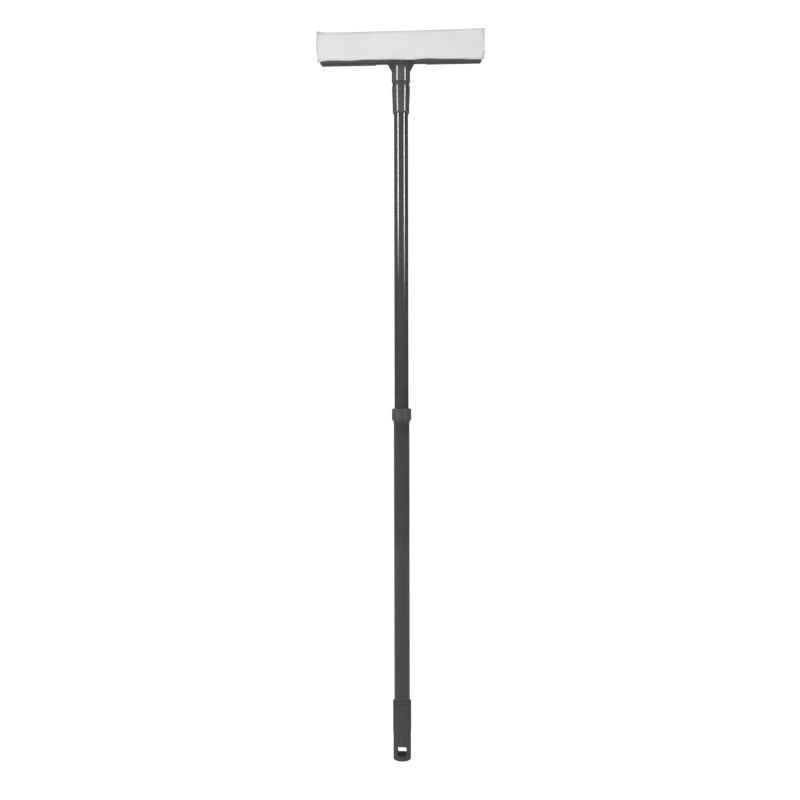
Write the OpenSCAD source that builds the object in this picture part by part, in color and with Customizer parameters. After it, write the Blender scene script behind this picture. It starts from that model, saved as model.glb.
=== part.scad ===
// Window squeegee on a two-section telescopic pole.
// Millimetres, +Z up the pole, -Y towards the washing pad, +Y towards the rubber blade.
// The origin lies on the pole's axis, at the lower edge of the grip's straight barrel.

/* [Pole] */
// Outside diameter of the lower tube
lower_tube_d = 24; // [20:0.5:30]
// Wall of the lower tube
lower_tube_wall = 0.6; // [0.4:0.05:1]
// Radial room between the two tubes
tube_room = 0.65; // [0.5:0.05:1.2]
// Wall of the upper tube
upper_tube_wall = 0.5; // [0.4:0.05:0.8]
// Length of lower tube that shows between grip and collar
lower_show = 425; // [250:1:700]
// Length of upper tube that shows between collar and ferrule, fully extended
upper_show = 450.5; // [250:0.5:700]

/* [Grip] */
// Wall of the grip around the tube
grip_wall = 2; // [1.2:0.1:4]
// Length of the straight barrel
barrel_len = 43; // [25:1:90]
// Length of the grip's end below the barrel
grip_end_len = 47; // [40:1:80]
// Width of the hanging slot
slot_w = 14; // [8:0.5:18]
// Height of the hanging slot
slot_h = 14.5; // [8:0.5:18]
// Material left under the hanging slot
slot_foot = 7.5; // [4:0.5:12]

/* [Collar] */
// Wall of the collar around the lower tube
collar_wall = 2.6; // [1.5:0.1:5]
// Height of the collar's main ring
collar_h = 18; // [12:0.5:35]
// Length of the guide bush below its flange
bush_len = 36; // [20:1:60]

/* [Twist lock] */
// Offset of the spindle from the pole's axis
cam_offset = 1.1; // [0.8:0.05:1.5]
// Height of the eccentric cam
cam_h = 14; // [8:0.5:24]
// Radial room around the cam when it is unlocked
cam_room = 1.2; // [0.9:0.05:1.5]
// Diameter of the spindle
spindle_d = 9; // [6:0.5:11]
// Height of the guide ring
guide_h = 8; // [4:0.5:14]

/* [Ferrule and thread] */
// Length of the ferrule
ferrule_len = 45.5; // [40:0.5:70]
// Thickness of the ferrule's belly over the upper tube
belly_wall = 2.95; // [2:0.05:4]
// Outside diameter of the threaded stud
stud_d = 19; // [14:0.5:20]
// Length of the threaded stud above the ferrule
stud_len = 22; // [14:0.5:24]
// Thread pitch
pitch = 5; // [3:0.5:6]
// Depth of the thread
thread_depth = 1.6; // [0.8:0.1:2]
// Thickness of the neck washer
washer_t = 1.6; // [1:0.1:3]

/* [Head] */
// Width of the head's crossbar
head_w = 246; // [180:1:450]
// Thickness of the crossbar's base plate
plate_t = 3; // [2:0.1:5]
// Reach of the base plate in front of the pole's axis
plate_front = 19.5; // [15:0.5:30]
// Reach of the base plate behind the pole's axis
plate_back = 3; // [2.5:0.1:8]
// Height of the upright web above the underside
web_h = 26; // [22:0.5:40]
// Thickness of the upright web
web_t = 3; // [2:0.1:5]
// Wall of the handle socket around its bore
socket_wall = 4.4; // [2.5:0.1:7]
// Length of the handle socket below the base plate
socket_len = 30; // [24:0.5:50]
// Reach of the side gussets beyond the socket
gusset_reach = 6; // [3:0.5:15]

/* [Washing pad] */
// Overhang of the pad past each end of the crossbar
pad_overhang = 4; // [2:0.5:20]
// Height of the pad's top above the head's underside
pad_h = 44.5; // [38:0.5:70]
// Thickness of the foam in front of its board
foam_t = 20.5; // [12:0.5:40]
// Thickness of the pad board
board_t = 2; // [1.2:0.1:4]
// Thickness of the cover's mesh fabric
cover_t = 1.2; // [0.8:0.1:2]
// Radius of the pad's rounded top edge
pad_round = 8; // [3:0.5:10]
// Height of the tape in the cover's front hem
hem_h = 4.5; // [3:0.5:8]

/* [Blade] */
// Distance of the blade holder's ends from the ends of the crossbar
holder_inset = 1; // [0:0.5:6]
// Overhang of the rubber blade past each end of its holder
blade_overhang = 6; // [5.5:0.5:20]
// Upward tilt of the blade, in degrees
blade_tilt = 12; // [0:1:15]
// Free length of the rubber lip
lip_len = 10; // [6:0.5:20]
// Thickness of the rubber lip
lip_t = 2; // [1.2:0.1:2.6]
// Number of screws through the head
screw_count = 4; // [2:1:6]
// Distance of the outer screws from the ends of the crossbar
screw_margin = 24; // [12:1:40]

/* [Hidden] */
$fn = 96;

// Clearances
seat_gap = 0.02;   // pieces of one body that seat in each other
run_gap = 0.06;    // a sliding or turning fit
lip_gap = 0.3;     // a hole that only passes the tube
lock_gap = 0.03;   // left between the locked cam and the tube
soft_gap = 0.3;    // fabric over foam
overlap = 0.01;    // cuts run this far past a face

// Pole radii
lower_r = lower_tube_d / 2;
lower_in_r = lower_r - lower_tube_wall;
upper_r = lower_in_r - tube_room;
upper_in_r = upper_r - upper_tube_wall;

// Grip
grip_r = lower_r + grip_wall;
grip_end_step = 0.5;
grip_end_r = grip_r - grip_end_step;
grip_taper_h = 9;
grip_foot_round = 2;
grip_floor = -(grip_end_len - slot_foot - slot_h - 12);
slot_round = 2.5;
rim_h = 2.6;
rim_groove_h = 1.2;
rim_groove_depth = 0.85;
seam_h = 0.8;
seam_depth = 0.4;

// Collar, from its skirt upwards
skirt_h = 3;
skirt_wall = 0.6;
collar_flare = 0.2;
collar_lip_t = 2.5;
collar_round = 1.5;
bush_flange_t = 1.5;
bush_flange_gap = 0.1;
z_collar = barrel_len + lower_show;
z_collar_top = z_collar + skirt_h + collar_h;
z_lower_top = z_collar_top - collar_lip_t - bush_flange_t;
z_bush_foot = z_lower_top - bush_len;

// Twist lock, from the guide ring downwards
stop_gap = 0.4;
end_play = 0.2;
z_guide_top = z_bush_foot - stop_gap;
z_upper_foot = z_guide_top + end_play;
z_guide_foot = z_guide_top - guide_h;
plug_flange_t = 2;
plug_len = 24;
plug_neck_wall = 2.4;
z_plug_flange = z_guide_foot - end_play;
z_spindle = z_plug_flange - plug_flange_t;
z_cam_foot = z_spindle - end_play - cam_h;
z_spindle_foot = z_cam_foot - end_play;
spindle_r = spindle_d / 2;
cam_r = lower_in_r - cam_room;
cam_slit = 1.6;
cam_throw = cam_room - lock_gap;
lock_angle = 2 * asin(cam_throw / (2 * cam_offset));
spindle_at = cam_offset * [cos(lock_angle), sin(lock_angle)];
cam_at = spindle_at - [cam_offset, 0];
keeper_t = 2.5;
keeper_r = cam_r - 0.7;
keeper_screw_r = 1.5;
keeper_head_r = 3;
keeper_head_t = 2;
keeper_screw_len = 10;

// Ferrule and thread
z_ferrule = z_collar_top + upper_show;
z_ferrule_top = z_ferrule + ferrule_len;
ferrule_mouth_wall = 0.95;
ferrule_neck_wall = 1.9;
ferrule_neck_h = 5;
ferrule_cap_t = 3.5;
ferrule_shoulder_h = 6;
belly_steps = 10;
thread_flange_t = 4;
z_upper_top = z_ferrule_top - ferrule_cap_t - thread_flange_t;
thread_plug_len = 26;
stud_r = stud_d / 2;
thread_ecc = thread_depth / 2;
thread_root = 0.4;
thread_sides = 26;
slices_per_turn = 14;
washer_r = upper_r + ferrule_neck_wall;

// Head, above the underside of its base plate
z_socket = z_ferrule_top + washer_t;
z_under = z_socket + socket_len;
socket_bore_r = stud_r + 0.15;
socket_r = socket_bore_r + socket_wall;
socket_chamfer = 1.2;
socket_depth = stud_len - washer_t + 1.5;
plate_round = 2;
gusset_t = 3.6;
gusset_edge_h = 1.6;
gusset_drop = gusset_edge_h + gusset_reach * 2;
wing_lip_t = 1.8;
wing_lip_h = 1.5;
wing_lip_gap = 18.5;
wing_lip_from = socket_r + gusset_reach + wing_lip_gap;
web_inset = 3;
web_round = 5;

// Pad, above the same underside
pad_w = head_w + 2 * pad_overhang;
board_gap = 0.1;
board_front = web_t + board_gap + board_t;
board_inset = 2;
board_foot = plate_t + 0.2;
cover_slack = 0.2;
foam_back = board_front + 0.05;
foam_front = foam_back + foam_t;
foam_top = pad_h - cover_t - cover_slack;
board_top = foam_top - 1;
foam_w = pad_w - 2 * (cover_t + soft_gap);
cover_foot = hem_h + 1.5;
cover_in_front = foam_front + cover_slack;
cover_front = cover_in_front + cover_t;
strip_t = 1;
strip_top = board_top - 1.5;
strip_foot = web_h + 1;
cover_in_back = web_t + board_gap - strip_t - cover_slack;
cover_back = cover_in_back - cover_t;
cover_back_foot = web_h + 1;
binding_w = 4;
binding_t = 0.7;
boss_r = 3.6;
boss_len = 6;
boss_gap = 0.3;

// Blade and its holder, above the same underside
holder_w = head_w - 2 * holder_inset;
blade_w = holder_w + 2 * blade_overhang;
flange_t = 2;
flange_foot = plate_t + 2;
flange_top = web_h - 3;
channel_at = web_h - 9;
channel_len = 11.5;
channel_h = 7.6;
bead_room_from = 3;
bead_len = 5.6;
bead_t = 4.4;
jaw_len = 3;
bead_gap = 0.15;
screw_at = plate_t + 6;
screw_pitch = (head_w - 2 * screw_margin) / (screw_count - 1);
screw_r = 1.5;
screw_head_r = 3;
screw_head_t = 1.8;
screw_len = 10.5;
clip_t = 0.8;
clip_w = 4;
clip_gap = 0.1;

// Points on a circle from angle a0 to a1
function arc(centre, r, a0, a1, steps = 8) = [
    for (i = [0:steps])
        let (a = a0 + (a1 - a0) * i / steps)
            centre + r * [cos(a), sin(a)]
];

// Runs from 0 to 1 with no slope at either end
function ease(u) = u * u * (3 - 2 * u);

module pipe(outer, inner, from, to) {
    translate([0, 0, from])
        difference() {
            cylinder(r = outer, h = to - from);
            translate([0, 0, -1])
                cylinder(r = inner, h = to - from + 2);
        }
}

module rounded_rect(size, r) {
    translate([r, 0])
        square([size[0] - 2 * r, size[1]]);
    translate([0, r])
        square([size[0], size[1] - 2 * r]);
    for (x = [r, size[0] - r], y = [r, size[1] - r])
        translate([x, y])
            circle(r = r);
}

// A flat outline in X and Z, pushed from y0 back to y1
module upright(y0, y1) {
    translate([0, y1, 0])
        rotate([90, 0, 0])
            linear_extrude(y1 - y0)
                children();
}

// An outline in Y and Z, drawn across the head's width
module across(width) {
    translate([-width / 2, 0, 0])
        rotate([90, 0, 90])
            linear_extrude(width)
                children();
}

module at_head() {
    translate([0, 0, z_under])
        children();
}

module at_screws() {
    for (i = [0:screw_count - 1])
        translate([(i - (screw_count - 1) / 2) * screw_pitch, 0, screw_at])
            rotate([90, 0, 0])
                children();
}

// ---- Lower section ----

module grip_outline() {
    foot = -grip_end_len;
    polygon(concat(
        [[0, foot]],
        arc([grip_end_r - grip_foot_round, foot + grip_foot_round], grip_foot_round, -90, 0),
        [
            [grip_end_r, -grip_taper_h - seam_h],
            [grip_end_r - seam_depth, -grip_taper_h - seam_h / 2],
            [grip_end_r, -grip_taper_h],
            [grip_r, 0],
            [grip_r, barrel_len - rim_h - rim_groove_h],
            [grip_r - rim_groove_depth, barrel_len - rim_h - rim_groove_h / 2],
            [grip_r, barrel_len - rim_h]
        ],
        arc([grip_r - 0.8, barrel_len - 0.8], 0.8, 0, 90, 4),
        [
            [lower_r + seat_gap + 0.6, barrel_len],
            [lower_r + seat_gap, barrel_len - 0.8],
            [lower_r + seat_gap, grip_floor],
            [0, grip_floor]
        ]
    ));
}

module end_grip() {
    color("dimgray")
        difference() {
            rotate_extrude()
                grip_outline();
            upright(-grip_r - 1, grip_r + 1)
                translate([-slot_w / 2, slot_foot - grip_end_len])
                    rounded_rect([slot_w, slot_h], slot_round);
        }
}

module lower_tube() {
    color("#46464b")
        pipe(lower_r, lower_in_r, grip_floor + 0.1, z_lower_top);
}

module lock_collar() {
    skirt_r = lower_r + skirt_wall;
    foot_r = lower_r + collar_wall + collar_flare;
    top_r = lower_r + collar_wall;
    height = skirt_h + collar_h;
    color("dimgray")
        translate([0, 0, z_collar])
            rotate_extrude()
                polygon(concat(
                    [
                        [lower_r + seat_gap, 0],
                        [skirt_r - 0.2, 0],
                        [skirt_r, 0.4],
                        [skirt_r, skirt_h - 1],
                        [foot_r - 1, skirt_h],
                        [foot_r, skirt_h + 1]
                    ],
                    arc([top_r - collar_round, height - collar_round], collar_round, 0, 90, 6),
                    [
                        [upper_r + lip_gap, height],
                        [upper_r + lip_gap, height - collar_lip_t],
                        [lower_r + seat_gap, height - collar_lip_t]
                    ]
                ));
}

module collar_bush() {
    color("darkslategray")
        difference() {
            union() {
                translate([0, 0, z_bush_foot])
                    cylinder(r = lower_in_r - seat_gap, h = bush_len + overlap);
                translate([0, 0, z_lower_top + seat_gap])
                    cylinder(r = lower_r - bush_flange_gap, h = bush_flange_t - 2 * seat_gap);
                translate([0, 0, z_lower_top - overlap])
                    cylinder(r = lower_in_r - seat_gap, h = bush_flange_t / 2);
            }
            translate([0, 0, z_bush_foot - 1])
                cylinder(r = upper_r + run_gap, h = bush_len + bush_flange_t + 2);
        }
}

// ---- Twist lock ----

module guide_ring() {
    neck_r = upper_in_r - plug_neck_wall;
    color("gainsboro")
        pipe(lower_in_r - run_gap, neck_r + run_gap, z_guide_foot, z_guide_top);
}

module lock_plug() {
    neck_r = upper_in_r - plug_neck_wall;
    color("gainsboro")
        difference() {
            union() {
                translate([0, 0, z_upper_foot])
                    cylinder(r = upper_in_r - seat_gap, h = plug_len);
                translate([0, 0, z_plug_flange])
                    cylinder(r = neck_r, h = z_upper_foot - z_plug_flange + 1);
                translate([0, 0, z_spindle])
                    cylinder(r = cam_r, h = plug_flange_t);
                translate([spindle_at[0], spindle_at[1], z_spindle_foot])
                    cylinder(r = spindle_r, h = z_spindle - z_spindle_foot + 1);
            }
            translate([spindle_at[0], spindle_at[1], z_spindle_foot - 1])
                cylinder(r = keeper_screw_r + seat_gap, h = keeper_screw_len + 1);
        }
}

module lock_cam() {
    color("white")
        difference() {
            translate([cam_at[0], cam_at[1], z_cam_foot])
                cylinder(r = cam_r, h = cam_h);
            translate([spindle_at[0], spindle_at[1], z_cam_foot - 1])
                cylinder(r = spindle_r + run_gap, h = cam_h + 2);
            translate([spindle_at[0], spindle_at[1] - cam_slit / 2, z_cam_foot - 1])
                cube([cam_r + 2, cam_slit, cam_h + 2]);
        }
}

module cam_keeper() {
    color("gainsboro")
        translate([0, 0, z_spindle_foot - keeper_t - seat_gap])
            difference() {
                cylinder(r = keeper_r, h = keeper_t);
                translate([spindle_at[0], spindle_at[1], -1])
                    cylinder(r = keeper_screw_r + run_gap, h = keeper_t + 2);
            }
}

module keeper_screw() {
    z_head = z_spindle_foot - keeper_t - 2 * seat_gap;
    color("silver")
        translate([spindle_at[0], spindle_at[1], z_head])
            difference() {
                union() {
                    cylinder(r = keeper_screw_r, h = keeper_t + keeper_screw_len - 1);
                    translate([0, 0, -keeper_head_t])
                        cylinder(r1 = keeper_head_r - 0.7, r2 = keeper_head_r, h = keeper_head_t);
                }
                for (turn = [0, 90])
                    rotate([0, 0, turn])
                        translate([-1.6, -0.3, -keeper_head_t - 1])
                            cube([3.2, 0.6, 2]);
            }
}

// ---- Upper section ----

module upper_tube() {
    color("#46464b")
        pipe(upper_r, upper_in_r, z_upper_foot, z_upper_top);
}

module thread_plug() {
    neck_r = stud_r - thread_depth - thread_root;
    color("dimgray") {
        translate([0, 0, z_upper_top - thread_plug_len])
            cylinder(r = upper_in_r - seat_gap, h = thread_plug_len + thread_flange_t / 2);
        translate([0, 0, z_upper_top + seat_gap])
            cylinder(r = upper_r - seat_gap, h = thread_flange_t - 2 * seat_gap);
        translate([0, 0, z_upper_top + 1])
            cylinder(r = neck_r, h = z_ferrule_top - z_upper_top);
        translate([0, 0, z_ferrule_top + 0.5])
            linear_extrude(
                height = stud_len - 0.5,
                twist = -360 * (stud_len - 0.5) / pitch,
                slices = round((stud_len - 0.5) / pitch * slices_per_turn),
                $fn = thread_sides
            )
                translate([thread_ecc, 0])
                    circle(r = stud_r - thread_ecc);
    }
}

module pole_ferrule() {
    inner_r = upper_r + seat_gap;
    color("dimgray")
        translate([0, 0, z_ferrule])
            rotate_extrude()
                polygon(concat(
                    [
                        [inner_r, 0],
                        [upper_r + ferrule_mouth_wall, 0],
                        [upper_r + ferrule_neck_wall - 0.3, 1],
                        [upper_r + ferrule_neck_wall, 2]
                    ],
                    [
                        for (i = [0:belly_steps])
                            let (u = i / belly_steps)
                                [
                                    upper_r + ferrule_neck_wall
                                        + (belly_wall - ferrule_neck_wall) * ease(u),
                                    ferrule_neck_h
                                        + (ferrule_len - ferrule_neck_h - ferrule_shoulder_h) * u
                                ]
                    ],
                    [
                        for (i = [1:8])
                            let (u = i / 8)
                                [
                                    upper_r + belly_wall
                                        - (belly_wall - ferrule_neck_wall) * pow(u, 1.5),
                                    ferrule_len - ferrule_shoulder_h * (1 - u)
                                ]
                    ],
                    [
                        [stud_r - thread_depth, ferrule_len],
                        [stud_r - thread_depth, ferrule_len - ferrule_cap_t],
                        [inner_r, ferrule_len - ferrule_cap_t]
                    ]
                ));
}

module neck_washer() {
    color("#202020")
        pipe(washer_r, stud_r + lip_gap, z_ferrule_top + 0.05, z_socket - 0.05);
}

// ---- Head ----

module gusset_outline() {
    polygon([
        [0, plate_t / 2],
        [0, -gusset_drop],
        [socket_r - 1, -gusset_drop],
        [socket_r + gusset_reach, -gusset_edge_h],
        [socket_r + gusset_reach, plate_t / 2]
    ]);
}

module wing_lip() {
    translate([wing_lip_from, plate_back - wing_lip_t, -wing_lip_h])
        cube([head_w / 2 - wing_lip_from - plate_round, wing_lip_t, wing_lip_h + overlap]);
}

module head_body() {
    color("dimgray")
        at_head()
            difference() {
                union() {
                    translate([-head_w / 2, -plate_front, 0])
                        linear_extrude(plate_t)
                            rounded_rect([head_w, plate_front + plate_back], plate_round);
                    upright(-web_t, 0)
                        translate([-head_w / 2 + web_inset, -web_round])
                            rounded_rect([head_w - 2 * web_inset, web_h + web_round], web_round);
                    translate([0, 0, socket_chamfer - socket_len])
                        cylinder(r = socket_r, h = socket_len - socket_chamfer + plate_t);
                    translate([0, 0, -socket_len])
                        cylinder(r1 = socket_r - socket_chamfer, r2 = socket_r, h = socket_chamfer);
                    for (side = [0, 1])
                        mirror([side, 0, 0]) {
                            upright(-gusset_t / 2, gusset_t / 2)
                                gusset_outline();
                            wing_lip();
                        }
                }
                translate([-head_w, -web_t - 1, -2 * web_round])
                    cube([head_w - socket_r - 1, web_t + 2, 2 * web_round - wing_lip_h]);
                translate([socket_r + 1, -web_t - 1, -2 * web_round])
                    cube([head_w, web_t + 2, 2 * web_round - wing_lip_h]);
                translate([0, 0, -socket_len - 1])
                    cylinder(r = socket_bore_r, h = socket_depth + 1);
                at_screws()
                    translate([0, 0, -1])
                        cylinder(r = screw_r + run_gap, h = web_t + 2);
            }
}

module pad_board() {
    width = head_w - 2 * board_inset;
    color("gray")
        at_head()
            difference() {
                union() {
                    upright(-board_front, -board_front + board_t)
                        translate([-width / 2, board_foot])
                            rounded_rect([width, board_top - board_foot], web_round);
                    at_screws()
                        translate([0, 0, board_front - overlap])
                            cylinder(r = boss_r, h = boss_len);
                }
                at_screws()
                    cylinder(r = screw_r + seat_gap, h = board_front + boss_len - 1);
            }
}

module hook_strip() {
    width = head_w - 2 * board_inset - 4 * web_round;
    color("dimgray")
        at_head()
            translate([-width / 2, -board_front + board_t + seat_gap, strip_foot])
                cube([width, strip_t - 2 * seat_gap, strip_top - strip_foot]);
}

// The pad's front and top, in Y and Z, for a front face at -front and a top at top
module pad_outline(front, back, foot, top, r) {
    polygon(concat(
        [[-back, foot], [-back, top]],
        arc([r - front, top - r], r, 90, 180),
        [[-front, foot]]
    ));
}

module foam_pad() {
    color("ivory")
        at_head()
            difference() {
                across(foam_w)
                    pad_outline(foam_front, foam_back, board_foot, foam_top, pad_round);
                at_screws()
                    translate([0, 0, foam_back - 1])
                        cylinder(r = boss_r + boss_gap, h = boss_len + boss_gap + 1);
            }
}

module pad_cover() {
    color("gainsboro")
        at_head()
            difference() {
                across(pad_w)
                    pad_outline(cover_front, cover_back, cover_foot, pad_h, pad_round + cover_t);
                across(pad_w - 2 * cover_t)
                    pad_outline(cover_in_front, cover_in_back, 0, pad_h - cover_t, pad_round);
                translate([-pad_w, -cover_in_front + 0.01, 0])
                    cube([2 * pad_w, 2 * cover_in_front, board_foot + hem_h]);
                translate([-pad_w, -foam_back + 0.3, 0])
                    cube([2 * pad_w, foam_back, cover_back_foot]);
            }
}

module cover_hem() {
    width = pad_w - 2 * cover_t;
    color("white")
        at_head()
            translate([-width / 2, -cover_front + 0.1, cover_foot - hem_h])
                cube([width, cover_t - 0.1, hem_h - seat_gap]);
}

module cover_binding(side) {
    color("lightgray")
        at_head()
            mirror([side < 0 ? 1 : 0, 0, 0])
                translate([pad_w / 2 - binding_w, -cover_front - binding_t - seat_gap, cover_foot - hem_h])
                    cube([binding_w, binding_t, pad_h - pad_round - cover_foot + hem_h - 2]);
}

// ---- Blade ----

// The channel's own outline: x runs back out of its mouth, y across the blade
module channel_outline() {
    difference() {
        translate([-1, -channel_h / 2])
            square([channel_len + 1, channel_h]);
        translate([bead_room_from, -bead_t / 2 - bead_gap])
            square([channel_len - jaw_len - bead_room_from, bead_t + 2 * bead_gap]);
        translate([bead_room_from, -lip_t / 2 - bead_gap])
            square([channel_len, lip_t + 2 * bead_gap]);
    }
}

module at_blade() {
    translate([flange_t, channel_at])
        rotate(blade_tilt)
            children();
}

module blade_holder() {
    color("#3c3c3e")
        at_head()
            difference() {
                across(holder_w) {
                    translate([seat_gap, flange_foot])
                        square([flange_t - seat_gap, flange_top - flange_foot]);
                    difference() {
                        at_blade()
                            channel_outline();
                        translate([-9, 0])
                            square([9 + seat_gap, 2 * channel_at]);
                    }
                }
                at_screws()
                    translate([0, 0, -flange_t - 1])
                        cylinder(r = screw_r + run_gap, h = flange_t + 2);
            }
}

module rubber_blade() {
    bead_from = bead_room_from + bead_gap;
    bead_to = channel_len - jaw_len - bead_gap;
    color("#161616")
        at_head()
            across(blade_w)
                at_blade() {
                    translate([bead_from, -bead_t / 2])
                        square([bead_to - bead_from, bead_t]);
                    translate([bead_from, -lip_t / 2])
                        square([channel_len - bead_from + lip_len, lip_t]);
                }
}

// A steel clip pressed on the rubber's bead, just outside the holder's end
module blade_clip(side) {
    back = bead_room_from + bead_gap - seat_gap;
    inner = bead_t / 2 + seat_gap;
    outer = inner + clip_t;
    color("silver")
        at_head()
            translate([side * (holder_w / 2 + clip_gap + clip_w / 2), 0, 0])
                across(clip_w)
                    at_blade()
                        difference() {
                            translate([back - clip_t, -outer])
                                square([bead_len + clip_t, 2 * outer]);
                            translate([back, -inner])
                                square([bead_len + 1, 2 * inner]);
                        }
}

module head_screws() {
    color("silver")
        at_head()
            at_screws() {
                translate([0, 0, -flange_t - seat_gap])
                    cylinder(r = screw_r, h = screw_len);
                translate([0, 0, -flange_t - seat_gap - screw_head_t])
                    difference() {
                        cylinder(r1 = screw_head_r - 0.8, r2 = screw_head_r, h = screw_head_t);
                        for (turn = [45, 135])
                            rotate([0, 0, turn])
                                translate([-1.6, -0.3, -1])
                                    cube([3.2, 0.6, 2]);
                    }
            }
}

end_grip();
lower_tube();
lock_collar();
collar_bush();
guide_ring();
upper_tube();
lock_plug();
lock_cam();
cam_keeper();
keeper_screw();
thread_plug();
pole_ferrule();
neck_washer();
head_body();
pad_board();
hook_strip();
foam_pad();
pad_cover();
cover_hem();
cover_binding(-1);  // cover_binding_left
cover_binding(1);  // cover_binding_right
blade_holder();
rubber_blade();
blade_clip(-1);  // blade_clip_left
blade_clip(1);  // blade_clip_right
head_screws();
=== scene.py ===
# Window squeegee on a telescopic pole: fabric pad, head, blade, pole and grip.
# Everything is in metres, +Z up the pole, -Y towards the washing pad.
import math

import bmesh
import bpy
import numpy as np
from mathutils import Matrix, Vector, noise


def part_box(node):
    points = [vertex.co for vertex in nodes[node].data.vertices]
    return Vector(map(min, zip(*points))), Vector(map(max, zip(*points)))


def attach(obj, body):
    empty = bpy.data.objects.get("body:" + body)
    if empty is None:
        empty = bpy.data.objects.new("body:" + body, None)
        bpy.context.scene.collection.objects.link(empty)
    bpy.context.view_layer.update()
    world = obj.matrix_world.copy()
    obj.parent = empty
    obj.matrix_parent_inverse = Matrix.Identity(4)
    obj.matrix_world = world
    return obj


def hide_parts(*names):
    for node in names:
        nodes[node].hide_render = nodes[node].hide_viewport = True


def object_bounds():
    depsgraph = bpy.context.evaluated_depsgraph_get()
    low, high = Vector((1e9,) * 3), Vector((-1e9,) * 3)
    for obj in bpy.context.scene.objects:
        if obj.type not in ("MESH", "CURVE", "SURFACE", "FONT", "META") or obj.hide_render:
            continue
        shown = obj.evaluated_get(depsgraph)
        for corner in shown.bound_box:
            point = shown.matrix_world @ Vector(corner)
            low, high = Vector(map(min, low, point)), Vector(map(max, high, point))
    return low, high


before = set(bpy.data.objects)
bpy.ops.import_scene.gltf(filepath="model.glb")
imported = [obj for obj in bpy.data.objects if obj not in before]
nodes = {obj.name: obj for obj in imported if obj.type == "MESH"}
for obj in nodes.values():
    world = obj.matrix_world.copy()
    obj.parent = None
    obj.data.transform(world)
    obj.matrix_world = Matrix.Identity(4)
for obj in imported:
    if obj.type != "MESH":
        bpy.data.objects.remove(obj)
cadLow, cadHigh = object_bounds()
scene = bpy.context.scene
mm = 0.001


# The camera looks level, from a little to the right
view = {
    "lens": 45.0,        # mm
    "sensor": 36.0,      # mm, its width
    "distance": 1.53,    # from the pole's axis
    "height": 0.502,     # just above the collar
    "azimuth": 3.1,      # degrees towards the head's right end
    "sideStep": 0.0024,  # the axis stands this far right of the middle
    "roll": -0.115,      # degrees
}


def placeCamera():
    turn = math.radians(view["azimuth"])
    back = Vector((math.sin(turn), -math.cos(turn), 0))
    right = Vector((math.cos(turn), math.sin(turn), 0))
    data = bpy.data.cameras.new("viewCamera")
    data.lens = view["lens"]
    data.sensor_width = view["sensor"]
    camera = bpy.data.objects.new("viewCamera", data)
    scene.collection.objects.link(camera)
    camera.location = back * view["distance"] - right * view["sideStep"]
    camera.location.z = view["height"]
    camera.rotation_euler = (math.pi / 2, 0, turn)
    camera.rotation_euler.rotate_axis("Z", math.radians(view["roll"]))
    scene.camera = camera
    print("camera placed")


def smoothFaces(mesh):
    mesh.polygons.foreach_set("use_smooth", [True] * len(mesh.polygons))


def makeObject(name, verts, faces):
    mesh = bpy.data.meshes.new(name)
    mesh.from_pydata([tuple(v) for v in verts], [], faces)
    mesh.update()
    smoothFaces(mesh)
    piece = bpy.data.objects.new(name, mesh)
    scene.collection.objects.link(piece)
    return piece


# Inputs are (name, socket kind, value), outputs are (name, socket kind)
def newGroup(name, inputs, outputs):
    group = bpy.data.node_groups.new(name, "ShaderNodeTree")
    for label, kind, value in inputs:
        socket = group.interface.new_socket(label, in_out="INPUT", socket_type=kind)
        if value is not None:
            socket.default_value = value
    for label, kind in outputs:
        group.interface.new_socket(label, in_out="OUTPUT", socket_type=kind)
    return group, group.nodes.new("NodeGroupInput"), group.nodes.new("NodeGroupOutput")


def mathNode(tree, operation, a, b=None, clamp=False):
    node = tree.nodes.new("ShaderNodeMath")
    node.operation = operation
    node.use_clamp = clamp
    for place, value in enumerate((a, b)):
        if value is None:
            continue
        if isinstance(value, (int, float)):
            node.inputs[place].default_value = value
        else:
            tree.links.new(value, node.inputs[place])
    return node.outputs[0]


# In the mix node, sockets 6 and 7 are the two colours and output 2 is the mixed one
def mixColour(tree, factor, a, b):
    node = tree.nodes.new("ShaderNodeMix")
    node.data_type = "RGBA"
    for socket, value in ((node.inputs[0], factor), (node.inputs[6], a), (node.inputs[7], b)):
        if isinstance(value, tuple):
            socket.default_value = (*value, 1)
        else:
            tree.links.new(value, socket)
    return node.outputs[2]


def scaleColour(tree, colour, factor):
    node = tree.nodes.new("ShaderNodeVectorMath")
    node.operation = "SCALE"
    tree.links.new(colour, node.inputs[0])
    tree.links.new(factor, node.inputs["Scale"])
    return node.outputs[0]


def spread(tree, value, low, high, toLow=0.0, toHigh=1.0):
    node = tree.nodes.new("ShaderNodeMapRange")
    node.interpolation_type = "SMOOTHSTEP"
    tree.links.new(value, node.inputs["Value"])
    for label, number in (("From Min", low), ("From Max", high), ("To Min", toLow), ("To Max", toHigh)):
        node.inputs[label].default_value = number
    return node.outputs["Result"]


def noiseNode(tree, vector, scale, detail=2.0, rough=0.5):
    node = tree.nodes.new("ShaderNodeTexNoise")
    tree.links.new(vector, node.inputs["Vector"])
    if isinstance(scale, (int, float)):
        node.inputs["Scale"].default_value = scale
    else:
        tree.links.new(scale, node.inputs["Scale"])
    node.inputs["Detail"].default_value = detail
    node.inputs["Roughness"].default_value = rough
    return node.outputs["Fac"]


def objectPoint(tree):
    return tree.nodes.new("ShaderNodeTexCoord").outputs["Object"]


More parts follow.
